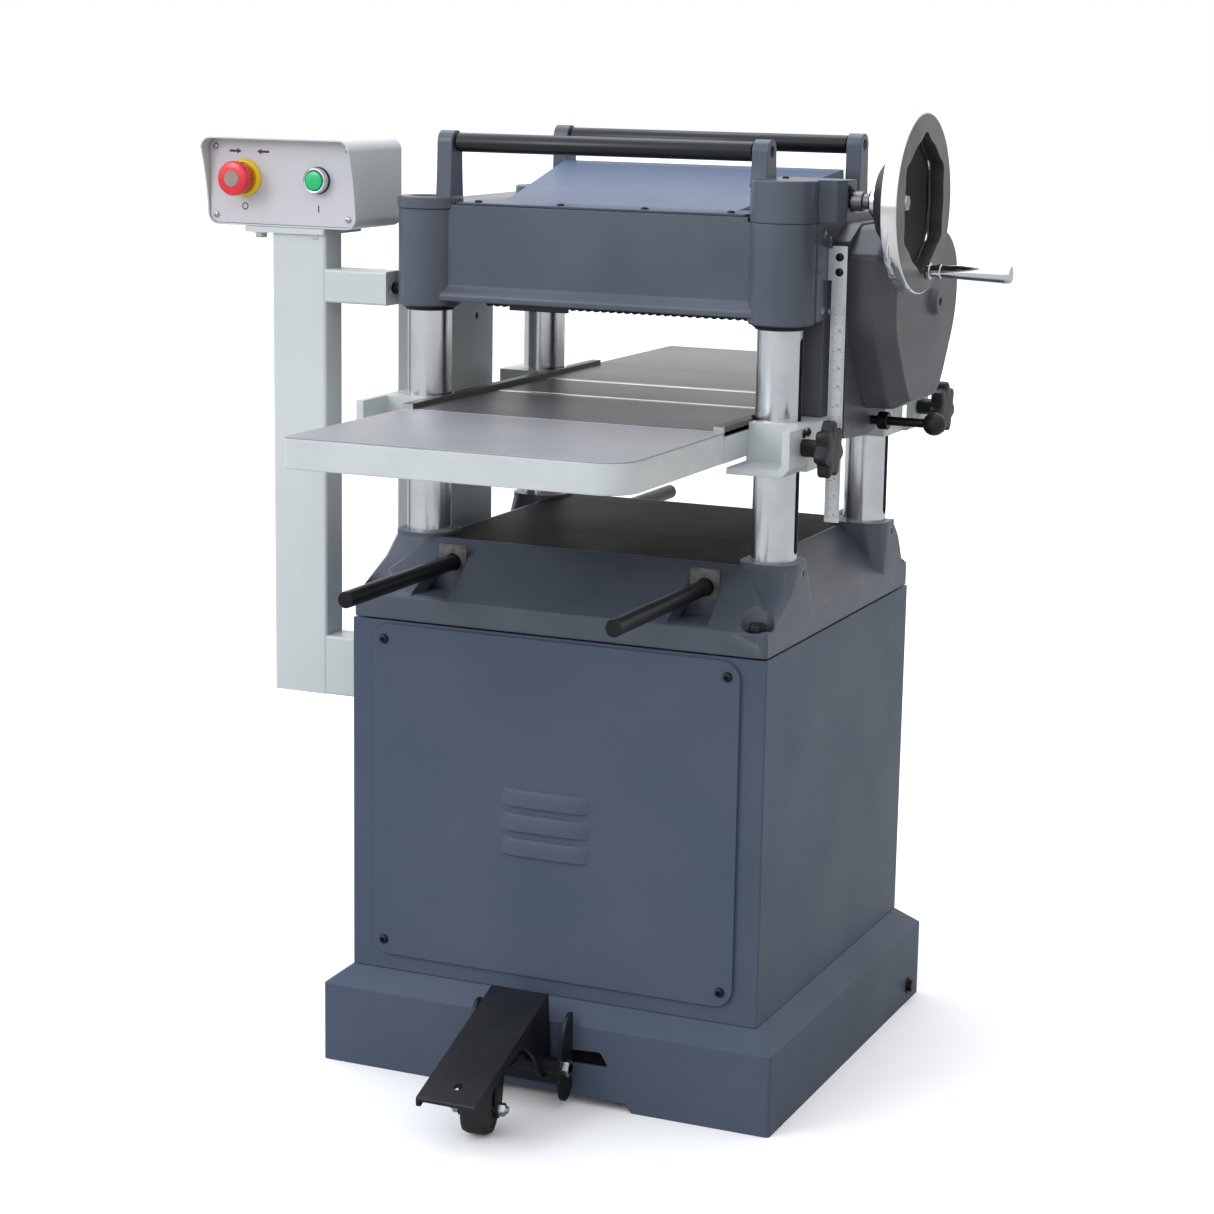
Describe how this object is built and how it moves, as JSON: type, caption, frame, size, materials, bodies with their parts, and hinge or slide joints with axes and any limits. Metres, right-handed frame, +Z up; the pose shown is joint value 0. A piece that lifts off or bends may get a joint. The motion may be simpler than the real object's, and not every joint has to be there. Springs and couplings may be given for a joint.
{
  "type": "thickness planer",
  "caption": "Floor-standing thickness planer: head on round columns over a table that rises on lead screws, with wings, handwheel, feed gearbox, control box and a base with pedal caster.",
  "frame": {"origin": "middle of the machine's overall footprint, on the floor", "axes": "+Y is the feed direction from the operator's side, +X the handwheel side, +Z up"},
  "size_m": [0.928, 1.024, 1.085],
  "materials": {
    "slate_enamel": "gloss",
    "pale_enamel": "gloss",
    "ground_iron": "satin",
    "polished_steel": "polished",
    "black_oxide": "satin",
    "black_rubber": "matte",
    "black_plastic": "satin",
    "polished_aluminium": "polished",
    "chrome": "polished",
    "scale_aluminium": "brushed",
    "light_legend": "satin",
    "red_plastic": "gloss",
    "yellow_plastic": "gloss",
    "green_plastic": "gloss"
  },
  "bodies": {
    "machine": {"base_skirt": "slate_enamel", "cabinet_shell": "slate_enamel", "access_panel": "slate_enamel", "base_casting": "slate_enamel", "head_casting": "slate_enamel", "dust_hood": "slate_enamel", "worm_gearbox": "slate_enamel", "roller_post_lf": "slate_enamel", "roller_post_lr": "slate_enamel", "roller_post_rr": "slate_enamel", "gearcase_plate": "slate_enamel", "gearcase_cover": "slate_enamel", "belt_guard": "pale_enamel", "control_post": "pale_enamel", "control_box": "pale_enamel", "column_lf": "polished_steel", "column_rf": "polished_steel", "column_lr": "polished_steel", "column_rr": "polished_steel", "elevation_chain": "black_oxide", "pedal_bracket": "black_oxide", "motor": "black_oxide", "drive_belt": "black_rubber", "start_bezel": "chrome", "thickness_scale": "scale_aluminium", "control_panel": "light_legend", "estop_collar": "yellow_plastic"},
    "main_table": {"main_table": "ground_iron", "infeed_wing": "ground_iron", "outfeed_wing": "ground_iron"},
    "cutterhead": {"cutterhead": "polished_steel", "cutterhead_pulley": "black_oxide"},
    "bed_roller_front": {"bed_roller_front": "polished_steel"},
    "bed_roller_rear": {"bed_roller_rear": "polished_steel"},
    "lock_knob_front": {"lock_knob_front": "black_plastic"},
    "lock_knob_rear": {"lock_knob_rear": "black_plastic"},
    "leadscrew_lf": {"leadscrew_lf": "polished_steel"},
    "leadscrew_rf": {"leadscrew_rf": "polished_steel"},
    "leadscrew_lr": {"leadscrew_lr": "polished_steel"},
    "leadscrew_rr": {"leadscrew_rr": "polished_steel"},
    "handwheel": {"handwheel": "polished_aluminium"},
    "handwheel_grip": {"handwheel_grip": "chrome"},
    "return_roller_front": {"return_roller_front": "black_oxide"},
    "return_roller_rear": {"return_roller_rear": "black_oxide"},
    "motor_pulley": {"motor_pulley": "black_oxide"},
    "infeed_roller": {"infeed_roller": "polished_steel"},
    "outfeed_roller": {"outfeed_roller": "polished_steel"},
    "kickback_fingers": {"kickback_fingers": "black_oxide"},
    "shift_rod": {"shift_rod": "black_plastic"},
    "estop_button": {"estop_button": "red_plastic"},
    "start_button": {"start_button": "green_plastic"},
    "lifting_rod_front_left": {"lifting_rod_front_left": "black_oxide"},
    "lifting_rod_front_right": {"lifting_rod_front_right": "black_oxide"},
    "lifting_rod_rear_left": {"lifting_rod_rear_left": "black_oxide"},
    "lifting_rod_rear_right": {"lifting_rod_rear_right": "black_oxide"},
    "foot_pedal": {"foot_pedal": "black_oxide"},
    "caster_yoke": {"caster_yoke": "black_oxide"},
    "caster_wheel": {"caster_wheel": "black_rubber"},
    "rear_wheel_left": {"rear_wheel_left": "black_rubber"},
    "rear_wheel_right": {"rear_wheel_right": "black_rubber"}
  },
  "joints": [
    {"name": "handwheel_turn", "type": "hinge", "parent": "machine", "child": "handwheel", "pos_m": [0.363, -0.105, 0.99], "axis": [-1, 0, 0], "range_deg": [-21600, 21600]},
    {"name": "table_lift", "type": "slide", "parent": "machine", "child": "main_table", "axis": [0, 0, 1], "range_m": [-0.0962, 0.0962]},
    {"name": "leadscrew_lf_turn", "type": "hinge", "parent": "machine", "child": "leadscrew_lf", "pos_m": [-0.188, -0.15, 0.525], "axis": [0, 0, 1], "range_deg": [-8660, 8660]},
    {"name": "leadscrew_rf_turn", "type": "hinge", "parent": "machine", "child": "leadscrew_rf", "pos_m": [0.232, -0.15, 0.525], "axis": [0, 0, 1], "range_deg": [-8660, 8660]},
    {"name": "leadscrew_lr_turn", "type": "hinge", "parent": "machine", "child": "leadscrew_lr", "pos_m": [-0.188, 0.156, 0.525], "axis": [0, 0, 1], "range_deg": [-8660, 8660]},
    {"name": "leadscrew_rr_turn", "type": "hinge", "parent": "machine", "child": "leadscrew_rr", "pos_m": [0.232, 0.156, 0.525], "axis": [0, 0, 1], "range_deg": [-8660, 8660]},
    {"name": "handwheel_grip_spin", "type": "hinge", "parent": "handwheel", "child": "handwheel_grip", "pos_m": [0.417, -0.08585, 0.91852], "axis": [1, 0, 0], "continuous": true},
    {"name": "cutterhead_spin", "type": "hinge", "parent": "machine", "child": "cutterhead", "pos_m": [0.022, 0.019, 0.9], "axis": [-1, 0, 0], "continuous": true},
    {"name": "motor_spin", "type": "hinge", "parent": "machine", "child": "motor_pulley", "pos_m": [-0.267, 0.044, 0.33], "axis": [-1, 0, 0], "continuous": true},
    {"name": "infeed_roller_spin", "type": "hinge", "parent": "machine", "child": "infeed_roller", "pos_m": [0.022, -0.058, 0.888], "axis": [1, 0, 0], "continuous": true},
    {"name": "outfeed_roller_spin", "type": "hinge", "parent": "machine", "child": "outfeed_roller", "pos_m": [0.022, 0.096, 0.888], "axis": [1, 0, 0], "continuous": true},
    {"name": "return_roller_front_spin", "type": "hinge", "parent": "machine", "child": "return_roller_front", "pos_m": [0.022, -0.15, 1.04], "axis": [1, 0, 0], "continuous": true},
    {"name": "return_roller_rear_spin", "type": "hinge", "parent": "machine", "child": "return_roller_rear", "pos_m": [0.022, 0.156, 1.04], "axis": [1, 0, 0], "continuous": true},
    {"name": "bed_roller_front_spin", "type": "hinge", "parent": "main_table", "child": "bed_roller_front", "pos_m": [0.022, -0.05, 0.7372], "axis": [1, 0, 0], "continuous": true},
    {"name": "bed_roller_rear_spin", "type": "hinge", "parent": "main_table", "child": "bed_roller_rear", "pos_m": [0.022, 0.088, 0.7372], "axis": [1, 0, 0], "continuous": true},
    {"name": "kickback_finger_swing", "type": "hinge", "parent": "machine", "child": "kickback_fingers", "pos_m": [0.022, -0.11, 0.901], "axis": [1, 0, 0], "range_deg": [0, 25]},
    {"name": "feed_shift", "type": "slide", "parent": "machine", "child": "shift_rod", "axis": [1, 0, 0], "range_m": [-0.007, 0.007]},
    {"name": "lock_knob_front_turn", "type": "hinge", "parent": "main_table", "child": "lock_knob_front", "pos_m": [0.302, -0.199, 0.736], "axis": [1, 0, 0], "range_deg": [0, 270]},
    {"name": "lock_knob_rear_turn", "type": "hinge", "parent": "main_table", "child": "lock_knob_rear", "pos_m": [0.302, 0.205, 0.736], "axis": [1, 0, 0], "range_deg": [0, 270]},
    {"name": "estop_press", "type": "slide", "parent": "machine", "child": "estop_button", "axis": [0, 1, 0], "range_m": [0, 0.005]},
    {"name": "start_press", "type": "slide", "parent": "machine", "child": "start_button", "axis": [0, 1, 0], "range_m": [0, 0.0025], "stiffness_N_per_m": 400},
    {"name": "lifting_rod_front_left_slide", "type": "slide", "parent": "machine", "child": "lifting_rod_front_left", "axis": [0, 1, 0], "range_m": [0, 0.18]},
    {"name": "lifting_rod_front_right_slide", "type": "slide", "parent": "machine", "child": "lifting_rod_front_right", "axis": [0, 1, 0], "range_m": [0, 0.18]},
    {"name": "lifting_rod_rear_left_slide", "type": "slide", "parent": "machine", "child": "lifting_rod_rear_left", "axis": [0, -1, 0], "range_m": [0, 0.165]},
    {"name": "lifting_rod_rear_right_slide", "type": "slide", "parent": "machine", "child": "lifting_rod_rear_right", "axis": [0, -1, 0], "range_m": [0, 0.165]},
    {"name": "pedal_swing", "type": "hinge", "parent": "machine", "child": "foot_pedal", "pos_m": [0.0055, -0.307, 0.048], "axis": [-1, 0, 0], "range_deg": [-7, 12]},
    {"name": "caster_swivel", "type": "hinge", "parent": "foot_pedal", "child": "caster_yoke", "pos_m": [0.0055, -0.387, 0.069], "axis": [0, 0, 1], "continuous": true},
    {"name": "caster_roll", "type": "hinge", "parent": "caster_yoke", "child": "caster_wheel", "pos_m": [0.0107, -0.41145, 0.03], "axis": [0.9781, 0.2079, 0], "continuous": true},
    {"name": "rear_wheel_left_roll", "type": "hinge", "parent": "machine", "child": "rear_wheel_left", "pos_m": [-0.232, 0.2, 0.021], "axis": [1, 0, 0], "continuous": true},
    {"name": "rear_wheel_right_roll", "type": "hinge", "parent": "machine", "child": "rear_wheel_right", "pos_m": [0.276, 0.2, 0.021], "axis": [1, 0, 0], "continuous": true}
  ],
  "couplings": [
    {"joint": "table_lift", "follows": "handwheel_turn", "m_per_rad": 0.00025465},
    {"joint": "leadscrew_lf_turn", "follows": "handwheel_turn", "ratio": -0.4},
    {"joint": "leadscrew_rf_turn", "follows": "handwheel_turn", "ratio": -0.4},
    {"joint": "leadscrew_lr_turn", "follows": "handwheel_turn", "ratio": -0.4},
    {"joint": "leadscrew_rr_turn", "follows": "handwheel_turn", "ratio": -0.4},
    {"joint": "motor_spin", "follows": "cutterhead_spin", "ratio": 0.69},
    {"joint": "infeed_roller_spin", "follows": "cutterhead_spin", "ratio": 0.0054},
    {"joint": "outfeed_roller_spin", "follows": "cutterhead_spin", "ratio": 0.0054}
  ]
}
